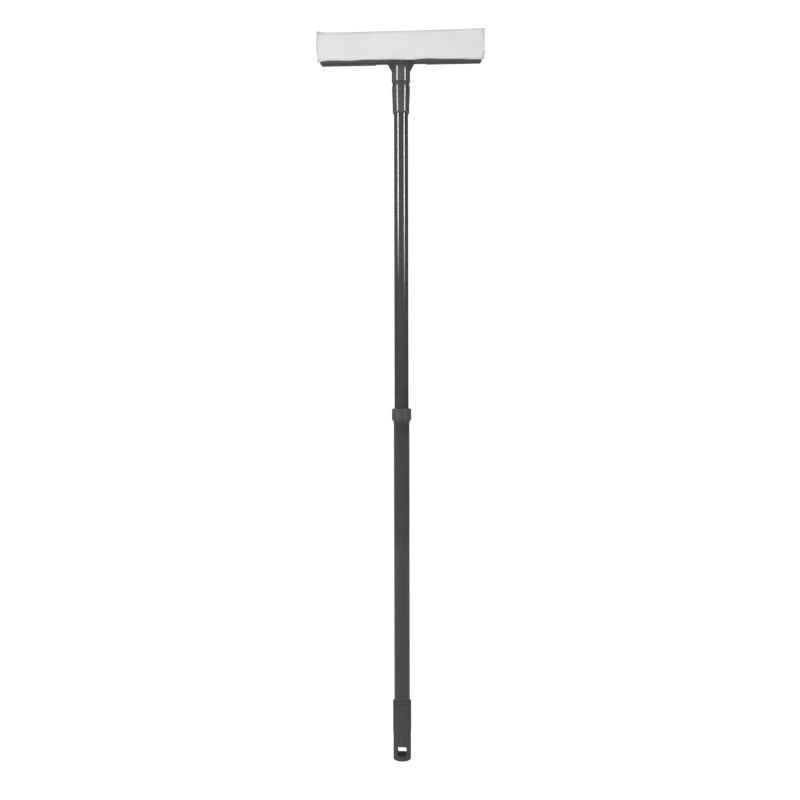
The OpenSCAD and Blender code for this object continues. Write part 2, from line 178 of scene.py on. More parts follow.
# Fine grain with a slow change of tone, for the plastics, paint, rubber and metal
def buildMouldGrain():
    group, given, out = newGroup(
        "mouldGrain",
        [
            ("Color", "NodeSocketColor", (0.1, 0.1, 0.1, 1)),
            ("Grain", "NodeSocketFloat", 1600.0),
            ("Mottle", "NodeSocketFloat", 0.12),
            ("Roughness", "NodeSocketFloat", 0.4),
        ],
        [("Color", "NodeSocketColor"), ("Roughness", "NodeSocketFloat"), ("Height", "NodeSocketFloat")],
    )
    point = objectPoint(group)
    fine = noiseNode(group, point, given.outputs["Grain"], 3.0, 0.6)
    slow = noiseNode(group, point, 38.0, 3.0, 0.55)
    slowPart = mathNode(group, "MULTIPLY", slow, 0.75)
    finePart = mathNode(group, "MULTIPLY", fine, 0.25)
    tone = mathNode(group, "ADD", slowPart, finePart)
    shift = mathNode(group, "MULTIPLY", mathNode(group, "SUBTRACT", tone, 0.5), given.outputs["Mottle"])
    gain = mathNode(group, "ADD", mathNode(group, "MULTIPLY", shift, 2.0), 1.0)
    group.links.new(scaleColour(group, given.outputs["Color"], gain), out.inputs["Color"])
    rough = mathNode(group, "ADD", given.outputs["Roughness"], mathNode(group, "MULTIPLY", shift, 0.6))
    group.links.new(rough, out.inputs["Roughness"])
    group.links.new(fine, out.inputs["Height"])
    return group


# Paler rubbed edges, from how far the surface sticks out, broken up by noise
def buildEdgeWear():
    group, given, out = newGroup(
        "edgeWear",
        [
            ("Color", "NodeSocketColor", (0.1, 0.1, 0.1, 1)),
            ("Worn Color", "NodeSocketColor", (0.3, 0.3, 0.3, 1)),
            ("Amount", "NodeSocketFloat", 0.3),
        ],
        [("Color", "NodeSocketColor"), ("Mask", "NodeSocketFloat")],
    )
    pointy = group.nodes.new("ShaderNodeNewGeometry").outputs["Pointiness"]
    edge = spread(group, pointy, 0.515, 0.60)
    patch = spread(group, noiseNode(group, objectPoint(group), 260.0, 4.0, 0.6), 0.35, 0.7)
    mask = mathNode(group, "MULTIPLY", mathNode(group, "MULTIPLY", edge, patch), given.outputs["Amount"])
    worn = mixColour(group, mask, given.outputs["Color"], given.outputs["Worn Color"])
    group.links.new(worn, out.inputs["Color"])
    group.links.new(mask, out.inputs["Mask"])
    return group


# A thin film of pale dust where the surface looks up
def buildDustFilm():
    group, given, out = newGroup(
        "dustFilm",
        [
            ("Color", "NodeSocketColor", (0.1, 0.1, 0.1, 1)),
            ("Dust Color", "NodeSocketColor", (0.42, 0.4, 0.37, 1)),
            ("Amount", "NodeSocketFloat", 0.1),
        ],
        [("Color", "NodeSocketColor"), ("Mask", "NodeSocketFloat")],
    )
    normal = group.nodes.new("ShaderNodeNewGeometry").outputs["Normal"]
    apart = group.nodes.new("ShaderNodeSeparateXYZ")
    group.links.new(normal, apart.inputs[0])
    upward = spread(group, apart.outputs["Z"], 0.1, 0.9, 0.06, 1.0)
    speck = spread(group, noiseNode(group, objectPoint(group), 900.0, 4.0, 0.7), 0.45, 0.75)
    mask = mathNode(group, "MULTIPLY", mathNode(group, "MULTIPLY", upward, speck), given.outputs["Amount"])
    dusted = mixColour(group, mask, given.outputs["Color"], given.outputs["Dust Color"])
    group.links.new(dusted, out.inputs["Color"])
    group.links.new(mask, out.inputs["Mask"])
    return group


# Honeycomb mesh knit: round openings on a triangular lattice, in the cloth's own flat measure. The
# openings are painted darker, as painted shade inside them.
def buildMeshKnit():
    group, given, out = newGroup(
        "meshKnit",
        [
            ("Flat", "NodeSocketVector", None),
            ("Color", "NodeSocketColor", (0.8, 0.8, 0.8, 1)),
            ("Pit Color", "NodeSocketColor", (0.5, 0.5, 0.5, 1)),
            ("Pitch", "NodeSocketFloat", 0.0024),
        ],
        [("Color", "NodeSocketColor"), ("Height", "NodeSocketFloat"), ("Pit", "NodeSocketFloat")],
    )
    # the lattice's rows stand half of the pitch times root 3 apart
    wave = mathNode(group, "DIVIDE", 2 * math.pi * 2 / math.sqrt(3), given.outputs["Pitch"])
    total = None
    for angle in (0, 120, 240):
        along = group.nodes.new("ShaderNodeVectorMath")
        along.operation = "DOT_PRODUCT"
        along.inputs[1].default_value = (math.cos(math.radians(angle)), math.sin(math.radians(angle)), 0)
        group.links.new(given.outputs["Flat"], along.inputs[0])
        ripple = mathNode(group, "COSINE", mathNode(group, "MULTIPLY", along.outputs["Value"], wave))
        total = ripple if total is None else mathNode(group, "ADD", total, ripple)
    yarn = noiseNode(group, given.outputs["Flat"], 5200.0, 3.0, 0.65)
    pit = spread(group, total, 0.35, 2.2)
    # painted shade: the openings are mixed towards the darker colour
    ground = mixColour(group, pit, given.outputs["Color"], given.outputs["Pit Color"])
    fibre = spread(group, yarn, 0.3, 0.7, 0.93, 1.04)
    group.links.new(scaleColour(group, ground, fibre), out.inputs["Color"])
    sunk = mathNode(group, "MULTIPLY", pit, -1.0)
    fuzz = mathNode(group, "MULTIPLY", yarn, 0.22)
    group.links.new(mathNode(group, "ADD", sunk, fuzz), out.inputs["Height"])
    group.links.new(pit, out.inputs["Pit"])
    return group


# Ribbed tape weave, in the tape's own flat measure, painted darker in its dips and lighter on its
# crossings as painted shade and painted highlight
def buildTapeWeave():
    group, given, out = newGroup(
        "tapeWeave",
        [
            ("Flat", "NodeSocketVector", None),
            ("Color", "NodeSocketColor", (0.8, 0.8, 0.8, 1)),
            ("Rib", "NodeSocketFloat", 0.0006),
        ],
        [("Color", "NodeSocketColor"), ("Height", "NodeSocketFloat")],
    )
    apart = group.nodes.new("ShaderNodeSeparateXYZ")
    group.links.new(given.outputs["Flat"], apart.inputs[0])
    wave = mathNode(group, "DIVIDE", 2 * math.pi, given.outputs["Rib"])
    warp = mathNode(group, "SINE", mathNode(group, "MULTIPLY", apart.outputs["X"], wave))
    weft = mathNode(group, "SINE", mathNode(group, "MULTIPLY", apart.outputs["Y"], wave))
    height = mathNode(group, "MULTIPLY", warp, weft)
    # painted shade in the weave's dips and painted highlight on its raised crossings
    tone = spread(group, height, -1.0, 1.0, 0.86, 1.05)
    group.links.new(scaleColour(group, given.outputs["Color"], tone), out.inputs["Color"])
    group.links.new(height, out.inputs["Height"])
    return group


groups = {
    "mouldGrain": buildMouldGrain(),
    "edgeWear": buildEdgeWear(),
    "dustFilm": buildDustFilm(),
    "meshKnit": buildMeshKnit(),
    "tapeWeave": buildTapeWeave(),
}


def useGroup(tree, name, **values):
    node = tree.nodes.new("ShaderNodeGroup")
    node.node_tree = groups[name]
    for label, value in values.items():
        socket = node.inputs[label.replace("_", " ")]
        if isinstance(value, tuple):
            socket.default_value = (*value, 1)
        elif isinstance(value, (int, float)):
            socket.default_value = value
        else:
            tree.links.new(value, socket)
    return node


def newMaterial(name):
    material = bpy.data.materials.new(name)
    material.use_nodes = True
    tree = material.node_tree
    return material, tree, tree.nodes["Principled BSDF"]


def addBump(tree, shader, height, distance, strength=1.0):
    bump = tree.nodes.new("ShaderNodeBump")
    bump.inputs["Distance"].default_value = distance
    bump.inputs["Strength"].default_value = strength
    tree.links.new(height, bump.inputs["Height"])
    tree.links.new(bump.outputs["Normal"], shader.inputs["Normal"])


# Grain is in features per metre, and relief is the grain's height in metres
plastics = {
    "grip": {
        "color": (0.078, 0.078, 0.079), "rough": 0.55, "grain": 1500.0,
        "relief": 0.00006, "wear": 0.35, "dust": 0.06,
    },
    "collar": {
        "color": (0.075, 0.075, 0.076), "rough": 0.5, "grain": 1700.0,
        "relief": 0.00003, "wear": 0.35, "dust": 0.05,
    },
    "bush": {
        "color": (0.03, 0.03, 0.032), "rough": 0.4, "grain": 1500.0,
        "relief": 0.00001, "wear": 0.1, "dust": 0.02,
    },
    "lock": {
        "color": (0.7, 0.7, 0.68), "rough": 0.42, "grain": 1500.0,
        "relief": 0.00001, "wear": 0.0, "dust": 0.05,
    },
    "stud": {
        "color": (0.06, 0.06, 0.062), "rough": 0.4, "grain": 1500.0,
        "relief": 0.00001, "wear": 0.3, "dust": 0.03,
    },
    "ferrule": {
        "color": (0.087, 0.087, 0.088), "rough": 0.09, "grain": 1200.0,
        "relief": 0.0000003, "wear": 0.2, "dust": 0.04,
    },
    "head": {
        "color": (0.095, 0.095, 0.096), "rough": 0.09, "grain": 1200.0,
        "relief": 0.0000003, "wear": 0.2, "dust": 0.05,
    },
    "board": {
        "color": (0.12, 0.12, 0.12), "rough": 0.5, "grain": 1500.0,
        "relief": 0.00002, "wear": 0.1, "dust": 0.03,
    },
}


def plasticMaterial(kind):
    look = plastics[kind]
    material, tree, shader = newMaterial(kind + "Plastic")
    grain = useGroup(tree, "mouldGrain", Color=look["color"], Grain=look["grain"], Roughness=look["rough"])
    paler = tuple(min(1.0, part * 2.2 + 0.03) for part in look["color"])
    worn = useGroup(tree, "edgeWear", Color=grain.outputs["Color"], Worn_Color=paler, Amount=look["wear"])
    dusty = useGroup(tree, "dustFilm", Color=worn.outputs["Color"], Amount=look["dust"])
    tree.links.new(dusty.outputs["Color"], shader.inputs["Base Color"])
    duller = mathNode(tree, "MULTIPLY", dusty.outputs["Mask"], 0.4)
    rough = mathNode(tree, "ADD", grain.outputs["Roughness"], duller)
    tree.links.new(rough, shader.inputs["Roughness"])
    shader.inputs["IOR"].default_value = 1.53
    addBump(tree, shader, grain.outputs["Height"], look["relief"])
    return material


paint = {
    "color": (0.066, 0.064, 0.071),  # anthracite
    "rough": 0.07,
    "grain": 900.0,
    "mottle": 0.05,
    "peel": 0.000002,                # height of the orange peel
    "dust": 0.05,
    "refraction": 1.6,
    "lacquer": 0.3,                  # weight of the clear coat
    "lacquerRough": 0.05,
}


def poleMaterial():
    material, tree, shader = newMaterial("polePaint")
    grain = useGroup(
        tree, "mouldGrain", Color=paint["color"], Grain=paint["grain"],
        Mottle=paint["mottle"], Roughness=paint["rough"],
    )
    dusty = useGroup(tree, "dustFilm", Color=grain.outputs["Color"], Amount=paint["dust"])
    tree.links.new(dusty.outputs["Color"], shader.inputs["Base Color"])
    tree.links.new(grain.outputs["Roughness"], shader.inputs["Roughness"])
    shader.inputs["IOR"].default_value = paint["refraction"]
    shader.inputs["Coat Weight"].default_value = paint["lacquer"]
    shader.inputs["Coat Roughness"].default_value = paint["lacquerRough"]
    addBump(tree, shader, grain.outputs["Height"], paint["peel"])
    return material


rubbers = {
    "blade": {"color": (0.016, 0.016, 0.017), "worn": (0.07, 0.07, 0.07), "rough": 0.5},
    "washer": {"color": (0.02, 0.02, 0.02), "worn": (0.07, 0.07, 0.07), "rough": 0.6},
}


def rubberMaterial(kind):
    look = rubbers[kind]
    material, tree, shader = newMaterial(kind + "Rubber")
    grain = useGroup(
        tree, "mouldGrain", Color=look["color"], Grain=900.0, Mottle=0.2, Roughness=look["rough"],
    )
    worn = useGroup(
        tree, "edgeWear", Color=grain.outputs["Color"], Worn_Color=look["worn"], Amount=0.5,
    )
    dusty = useGroup(tree, "dustFilm", Color=worn.outputs["Color"], Amount=0.08)
    tree.links.new(dusty.outputs["Color"], shader.inputs["Base Color"])
    tree.links.new(grain.outputs["Roughness"], shader.inputs["Roughness"])
    addBump(tree, shader, grain.outputs["Height"], 0.00002)
    return material


metals = {
    "steel": {"name": "screwSteel", "color": (0.58, 0.58, 0.59), "rough": 0.3, "metallic": 1.0},
    "holder": {"name": "holderMetal", "color": (0.2, 0.2, 0.205), "rough": 0.38, "metallic": 0.35},
}


# Bright zinc or dark coated metal with fine drawn lines along X
def metalMaterial(kind):
    look = metals[kind]
    rough = look["rough"]
    material, tree, shader = newMaterial(look["name"])
    stretch = tree.nodes.new("ShaderNodeMapping")
    stretch.inputs["Scale"].default_value = (0.04, 1.0, 1.0)
    tree.links.new(objectPoint(tree), stretch.inputs["Vector"])
    lines = noiseNode(tree, stretch.outputs["Vector"], 5200.0, 3.0, 0.6)
    grain = useGroup(
        tree, "mouldGrain", Color=look["color"], Grain=1100.0, Mottle=0.06, Roughness=rough,
    )
    worn = useGroup(
        tree, "edgeWear", Color=grain.outputs["Color"], Worn_Color=(0.5, 0.5, 0.5), Amount=0.15,
    )
    tree.links.new(worn.outputs["Color"], shader.inputs["Base Color"])
    tree.links.new(spread(tree, lines, 0.3, 0.7, rough - 0.03, rough + 0.04), shader.inputs["Roughness"])
    shader.inputs["Metallic"].default_value = look["metallic"]
    addBump(tree, shader, lines, 0.0000015)
    return material


cloth = {
    "color": (0.80, 0.80, 0.80),
    # painted shade colour inside the knit's openings
    "pit": (0.50, 0.51, 0.51),
    "pitch": 0.0024,      # between neighbouring openings
    "relief": 0.00032,
    "hem": (0.80, 0.83, 0.81),
    "hemRib": 0.0007,
    "edge": (0.72, 0.72, 0.72),
    "edgeRib": 0.0008,
}


# The cloth's own flat measure, in metres
def flatPoint(tree):
    node = tree.nodes.new("ShaderNodeUVMap")
    node.uv_map = "flatCloth"
    return node.outputs["UV"]


def meshFabricMaterial():
    material, tree, shader = newMaterial("meshFabric")
    knit = useGroup(
        tree, "meshKnit", Flat=flatPoint(tree),
        Color=cloth["color"], Pit_Color=cloth["pit"], Pitch=cloth["pitch"],
    )
    slow = spread(tree, noiseNode(tree, objectPoint(tree), 22.0, 3.0, 0.55), 0.3, 0.7, 0.975, 1.02)
    tree.links.new(scaleColour(tree, knit.outputs["Color"], slow), shader.inputs["Base Color"])
    tree.links.new(spread(tree, knit.outputs["Pit"], 0.0, 1.0, 0.82, 0.95), shader.inputs["Roughness"])
    shader.inputs["Specular IOR Level"].default_value = 0.25
    shader.inputs["Sheen Weight"].default_value = 0.25
    shader.inputs["Sheen Roughness"].default_value = 0.5
    addBump(tree, shader, knit.outputs["Height"], cloth["relief"], 0.8)
    return material


def tapeMaterial(name, color, rib):
    material, tree, shader = newMaterial(name)
    weave = useGroup(tree, "tapeWeave", Flat=flatPoint(tree), Color=color, Rib=rib)
    dusty = useGroup(tree, "dustFilm", Color=weave.outputs["Color"], Amount=0.08)
    tree.links.new(dusty.outputs["Color"], shader.inputs["Base Color"])
    shader.inputs["Roughness"].default_value = 0.85
    shader.inputs["Specular IOR Level"].default_value = 0.25
    shader.inputs["Sheen Weight"].default_value = 0.2
    addBump(tree, shader, weave.outputs["Height"], rib * 0.2)
    return material


padding = {
    # painted shade colour of the cells' hollows
    "poreShade": (0.5, 0.48, 0.4),
    "skin": (0.82, 0.8, 0.7),
    "cells": 900.0,       # per metre
    "relief": 0.0004,
}


def foamMaterial():
    material, tree, shader = newMaterial("openFoam")
    cells = tree.nodes.new("ShaderNodeTexVoronoi")
    cells.inputs["Scale"].default_value = padding["cells"]
    tree.links.new(objectPoint(tree), cells.inputs["Vector"])
    wall = spread(tree, cells.outputs["Distance"], 0.1, 0.55)
    # the cells' hollows are painted darker, as painted shade, and their walls keep the foam's colour
    tree.links.new(mixColour(tree, wall, padding["poreShade"], padding["skin"]), shader.inputs["Base Color"])
    shader.inputs["Roughness"].default_value = 0.95
    shader.inputs["Specular IOR Level"].default_value = 0.2
    addBump(tree, shader, wall, padding["relief"])
    return material


hooks = {
    # painted shade between the hooks
    "gap": (0.02, 0.02, 0.02),
    "tip": (0.09, 0.09, 0.09),
    "density": 700.0,     # per metre
    "relief": 0.0005,
}


def hookMaterial():
    material, tree, shader = newMaterial("hookTape")
    field = tree.nodes.new("ShaderNodeTexVoronoi")
    field.inputs["Scale"].default_value = hooks["density"]
    tree.links.new(objectPoint(tree), field.inputs["Vector"])
    tip = spread(tree, field.outputs["Distance"], 0.15, 0.5, 1.0, 0.0)
    # the gaps between the hooks are painted darker, as painted shade
    tree.links.new(mixColour(tree, tip, hooks["gap"], hooks["tip"]), shader.inputs["Base Color"])
    shader.inputs["Roughness"].default_value = 0.6
    addBump(tree, shader, tip, hooks["relief"])
    return material


yarn = {
    "dark": (0.66, 0.67, 0.66),
    "pale": (0.84, 0.85, 0.84),
    "twist": 6000.0,      # per metre
    "relief": 0.00005,
}


def threadMaterial():
    material, tree, shader = newMaterial("sewingThread")
    twist = noiseNode(tree, objectPoint(tree), yarn["twist"], 2.0, 0.5)
    tree.links.new(mixColour(tree, twist, yarn["dark"], yarn["pale"]), shader.inputs["Base Color"])
    shader.inputs["Roughness"].default_value = 0.7
    addBump(tree, shader, twist, yarn["relief"])
    return material


materials = {kind: plasticMaterial(kind) for kind in plastics}
materials.update({
    "pole": poleMaterial(),
    "blade": rubberMaterial("blade"),
    "washer": rubberMaterial("washer"),
    "steel": metalMaterial("steel"),
    "holder": metalMaterial("holder"),
    "mesh": meshFabricMaterial(),
    "hem": tapeMaterial("hemTape", cloth["hem"], cloth["hemRib"]),
    "edge": tapeMaterial("edgeTape", cloth["edge"], cloth["edgeRib"]),
    "foam": foamMaterial(),
    "hook": hookMaterial(),
    "thread": threadMaterial(),
})
print("materials made:", len(materials))


def dress(piece, kind):
    piece.data.materials.clear()
    piece.data.materials.append(materials[kind])


# Solids that keep their own shape, with the material of each
carried = {
    "lower_tube": "pole", "upper_tube": "pole", "collar_bush": "bush",
    "guide_ring": "lock", "lock_plug": "lock", "lock_cam": "lock", "cam_keeper": "lock",
    "keeper_screw": "steel", "thread_plug": "stud", "pole_ferrule": "ferrule",
    "neck_washer": "washer", "pad_board": "board", "hook_strip": "hook",
    "rubber_blade": "blade",
    "blade_clip_left": "steel", "blade_clip_right": "steel", "head_screws": "steel",
}
for nodeName, kind in carried.items():
    slots = nodes[nodeName].data.materials
    for place in range(len(slots)):
        slots[place] = materials[kind]


# Pieces whose sharp edges are rounded, with the width of each edge's rounding
moulded = {
    "headShell": {
        "node": "head_body", "body": "head", "kind": "head",
        "slot": "head_plastic", "edge": 0.0005,
    },
    "gripShell": {
        "node": "end_grip", "body": "lower_pole", "kind": "grip",
        "slot": "grip_plastic", "edge": 0.0003,
    },
    "collarShell": {
        "node": "lock_collar", "body": "lower_pole", "kind": "collar",
        "slot": "collar_plastic", "edge": 0.0003,
    },
    "holderRail": {
        "node": "blade_holder", "body": "head", "kind": "holder",
        "slot": "holder_metal", "edge": 0.00025,
    },
}
rounding = {
    "weld": 0.000004,   # points closer than this are one
    "flat": 0.6,        # degrees, faces this level become one
    "sharp": 32,        # degrees, edges above this are rounded
    "shade": 40,        # degrees, edges above this stay hard to the light
    "segments": 3,
}


# A copy of the solid with a small radius along every sharp edge
def softenedCopy(name, look):
    piece = bpy.data.objects.new(name, nodes[look["node"]].data.copy())
    scene.collection.objects.link(piece)
    bm = bmesh.new()
    bm.from_mesh(piece.data)
    bmesh.ops.remove_doubles(bm, verts=bm.verts, dist=rounding["weld"])
    bmesh.ops.dissolve_degenerate(bm, edges=bm.edges, dist=rounding["weld"])
    level = math.radians(rounding["flat"])
    bmesh.ops.dissolve_limit(bm, angle_limit=level, verts=bm.verts, edges=bm.edges)
    limit = math.radians(rounding["sharp"])
    sharp = [e for e in bm.edges if len(e.link_faces) == 2 and e.calc_face_angle(0) > limit]
    bmesh.ops.bevel(
        bm, geom=sharp, offset=look["edge"], segments=rounding["segments"], profile=0.5,
        affect="EDGES", clamp_overlap=True, loop_slide=False,
    )
    bmesh.ops.triangulate(bm, faces=[f for f in bm.faces if len(f.verts) > 4])
    bm.to_mesh(piece.data)
    bm.free()
    smoothFaces(piece.data)
    piece.data.set_sharp_from_angle(angle=math.radians(rounding["shade"]))
    even = piece.modifiers.new("even", "WEIGHTED_NORMAL")
    even.keep_sharp = True
    dress(piece, look["kind"])
    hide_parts(look["node"])
    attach(piece, look["body"])


for pieceName, look in moulded.items():
    softenedCopy(pieceName, look)
print("moulded pieces softened")


def bakeModifiers(piece):
    depsgraph = bpy.context.evaluated_depsgraph_get()
    mesh = bpy.data.meshes.new_from_object(piece.evaluated_get(depsgraph))
    piece.modifiers.clear()
    piece.data = mesh


def subdivideOnce(piece):
    finer = piece.modifiers.new("finer", "SUBSURF")
    finer.levels = finer.render_levels = 1
    bakeModifiers(piece)
    smoothFaces(piece.data)


# The washing pad's cloth cover
pad = {
    "columns": 84,         # across the head
    "measured": 40,        # column near the middle, where the cloth's length is taken
    "rows": 16,            # up the front face
    "lidRows": 6,
    "dropRows": 5,         # down the back
    "edgeRadius": 0.0092,  # front top edge
    "backRadius": 0.004,
    "frontGap": 0.0006,    # from the solid's front to the cloth
    "backEdge": 0.021,     # the cloth's back edge above the solid's foot
    "barDrop": 0.005,      # from the blade holder's foot down to the crossbar's underside
    "hemLow": 0.0014,      # hem's lowest line below the crossbar's underside
    "footTuck": 0.0024,    # how far the front's foot turns back
    "crown": 0.0016,       # how far the front bulges
    "recess": 0.0024,      # how far the front draws back at its ends
    "endInset": 0.0004,    # from the solid's ends to the cloth
    "endTuck": 0.0032,     # how far the lower corners draw in
    "tuckRows": 9,         # over which they do
    "endBulge": 0.0004,
    "panelRings": 7,
    "panelRows": 8,        # down the end panel's back, under the cloth's back edge
    "panelUnder": 0.0008,  # the end panel reaches this far below the foam
    "panelBack": 0.0006,   # and this far behind it
    "returnGap": 0.0003,   # from the board's end to the panel's return
    "panelCloth": 0.07,    # flat width of both end panels with their returns
    "spineDrop": 0.013,    # the end panel's spine stops this far under the top
    "rise": 0.0011,        # how far the padding lifts the cloth above its solid
    "topSag": 0.0026,      # slack along the front top edge between the two ends
    "backSag": 0.0006,     # the most of it that reaches the board's edge
    "thickness": 0.0010,
    "weld": 0.00002,       # points closer than this are one
    "wave": 0.0003,        # height of the slow unevenness
    "crease": 0.00016,     # height of the long creases on the front
    "creaseTop": 0.012,    # creases fade out above this line under the top
    "cap": 0.0016,         # furthest that the simulation may move a point
}
coverLow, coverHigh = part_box("pad_cover")
foamLow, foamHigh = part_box("foam_pad")
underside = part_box("blade_holder")[0].z - pad["barDrop"]
halfWide = coverHigh.x - pad["endInset"]


# In these three, x runs from -1 at the head's left end to 1 at its right
def topSag(x):
    leftRise = 1 - math.exp(-(x + 1) / 0.12)
    rightFall = max(0.0, 1 - ((x + 0.6) / 1.6) ** 2) if x > -0.6 else 1.0
    return pad["topSag"] * leftRise * rightFall


def frontRecess(x):
    return pad["recess"] * abs(x) ** 4


def hemDip(x):
    wander = 0.45 * math.sin(9 * x + 1.1) + 0.3 * math.sin(17 * x - 0.6)
    return (wander + 0.7 * x + 1.6 * abs(x) ** 14) * mm


def arcPoints(centre, radius, start, end, steps):
    return [
        (centre[0] + radius * math.cos(math.radians(start + (end - start) * i / steps)),
         centre[1] + radius * math.sin(math.radians(start + (end - start) * i / steps)))
        for i in range(steps + 1)
    ]


# The cover's outline at one place across the head, as (y, z) points
# from the front hem over the top to the back edge
def coverOutline(x):
    front = coverLow.y + pad["frontGap"] + frontRecess(x)
    back = coverHigh.y
    highest = coverHigh.z + pad["rise"]
    top = highest - topSag(x)
    backTop = highest - min(topSag(x), pad["backSag"])
    foot = underside - pad["hemLow"] - hemDip(x)
    r, b = pad["edgeRadius"], pad["backRadius"]
    straight = top - r - foot
    rise = []
    for i in range(pad["rows"]):
        t = i / pad["rows"]
        tuck = pad["footTuck"] * (1 - t) ** 4
        bulge = pad["crown"] * math.sin(math.pi * (0.12 + 0.8 * t)) ** 1.3 * (1 - abs(x) ** 10)
        rise.append((front + tuck - bulge, foot + straight * t))
    first = arcPoints((front + r, top - r), r, 180, 90, 8)
    lid = []
    for i in range(1, pad["lidRows"]):
        t = i / pad["lidRows"]
        lift = t * t * (3 - 2 * t)  # eased at both ends
        lid.append((front + r + (back - b - front - r) * t, top + (backTop - top) * lift))
    second = arcPoints((back - b, backTop - b), b, 90, 0, 4)
    depth = backTop - b - coverLow.z - pad["backEdge"]
    rows = pad["dropRows"]
    drop = [(back, backTop - b - depth * i / rows) for i in range(1, rows + 1)]
    return rise + first + lid + second + drop


def flatLengths(points):
    steps = [0.0]
    for a, b in zip(points, points[1:]):
        steps.append(steps[-1] + (b - a).length)
    return steps


def buildCover():
    columns = pad["columns"]
    grid = []
    for i in range(columns + 1):
        x = -1 + 2 * i / columns
        row = []
        for j, (y, z) in enumerate(coverOutline(x)):
            low = max(0.0, 1 - j / pad["tuckRows"])
            tuckIn = pad["endTuck"] * low ** 2 * abs(x) ** 8
            row.append(Vector((x * halfWide - math.copysign(tuckIn, x), y, z)))
        grid.append(row)
    count = len(grid[0])
    verts = [v for row in grid for v in row]
    faces = [
        (i * count + j, (i + 1) * count + j, (i + 1) * count + j + 1, i * count + j + 1)
        for i in range(columns) for j in range(count - 1)
    ]
    lengths = flatLengths(grid[columns // 2])
    flat = {}
    for i in range(columns + 1):
        for j in range(count):
            flat[i * count + j] = (i / columns * 2 * halfWide, lengths[j])
    return verts, faces, flat, count


# Each end panel is rings that run in from the cover's end outline, which goes on down
# the foam's back, to an upright spine in the panel's middle
def addEndPanels(verts, faces, count):
    columns = pad["columns"]
    rings = pad["panelRings"]
    rows = pad["panelRows"]
    spines = []
    spineY = (coverLow.y + coverHigh.y) / 2
    lowest = foamLow.z - pad["panelUnder"]
    behind = foamHigh.y + pad["panelBack"]
    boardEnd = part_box("pad_board")[1].x + pad["returnGap"]
    for side, column in ((-1, 0), (1, columns)):
        rim = [column * count + j for j in range(count)]
        end = verts[rim[-1]]
        for i in range(1, rows + 1):
            t = i / rows
            y = end.y + (behind - end.y) * min(1.0, 4 * t)
            rim.append(len(verts))
            verts.append(Vector((end.x, y, end.z + (lowest - end.z) * t)))
        # a narrow return that hides the foam's edge beside the board
        turned = rim[-rows - 1:]
        for inward in (0.5, 1.0):
            flap = []
            for place in turned:
                p = verts[place]
                flap.append(len(verts))
                verts.append(Vector((side * (halfWide + (boardEnd - halfWide) * inward), p.y, p.z)))
            for j in range(len(flap) - 1):
                quad = (turned[j], flap[j], flap[j + 1], turned[j + 1])
                faces.append(quad[::-1] if side < 0 else quad)
            turned = flap
        last = rim
        for k in range(1, rings + 1):
            t = k / rings
            ring = []
            for j in range(len(rim)):
                p = verts[rim[j]]
                level = max(lowest, min(p.z, coverHigh.z - pad["spineDrop"]))
                spine = Vector((side * halfWide, spineY, level))
                q = p.lerp(spine, t)
                q.x += side * pad["endBulge"] * math.sin(math.pi / 2 * t)
                ring.append(len(verts))
                verts.append(q)
            for j in range(len(rim) - 1):
                quad = (last[j], last[j + 1], ring[j + 1], ring[j])
                faces.append(quad if side < 0 else quad[::-1])
            last = ring
        spines += last
    return verts, faces, spines


# Lays the cloth's flat measure on the mesh. Faces from panelStart on are end panels.
def setFlat(mesh, flat, panelStart=None):
    layer = mesh.uv_layers.new(name="flatCloth")
    for face in mesh.polygons:
        inPanel = panelStart is not None and face.index >= panelStart
        for place in face.loop_indices:
            index = mesh.loops[place].vertex_index
            point = mesh.vertices[index].co
            across = point.x if abs(face.normal.y) > 0.7 else point.y
            layer.data[place].uv = (across + 0.5, point.z) if inPanel else flat[index]


clothSettings = {
    "quality": 6,
    "mass": 0.15,
    "tension_stiffness": 25,
    "compression_stiffness": 25,
    "shear_stiffness": 8,
    "bending_stiffness": 0.3,
    "use_pressure": True,
    "uniform_pressure_force": 1.2,  # the foam's push
}
clothFrames = 20


# Lets the foam's pressure settle the cloth, and limits how far any point goes
def relaxCover(piece, held):
    group = piece.vertex_groups.new(name="held")
    for index, weight in held.items():
        group.add([index], weight, "REPLACE")
    before = np.array([v.co for v in piece.data.vertices])
    modifier = piece.modifiers.new("cloth", "CLOTH")
    settings = modifier.settings
    for label, value in clothSettings.items():
        setattr(settings, label, value)
    settings.vertex_group_mass = "held"
    settings.effector_weights.gravity = 0
    modifier.point_cache.frame_start = 1
    modifier.point_cache.frame_end = clothFrames
    for step in range(1, clothFrames + 1):
        scene.frame_set(step)
    depsgraph = bpy.context.evaluated_depsgraph_get()
    shown = piece.evaluated_get(depsgraph)
    after = np.array([v.co for v in shown.data.vertices])
    scene.frame_set(1)
    piece.modifiers.remove(modifier)
    moved = after - before
    far = np.linalg.norm(moved, axis=1, keepdims=True)
    moved *= np.minimum(1.0, pad["cap"] / np.maximum(far, 1e-9))
    piece.data.vertices.foreach_set("co", (before + moved).astype(np.float32).ravel())
    piece.data.update()
    print("cover relaxed, furthest point moved %.2f mm" % (float(far.max()) / mm))


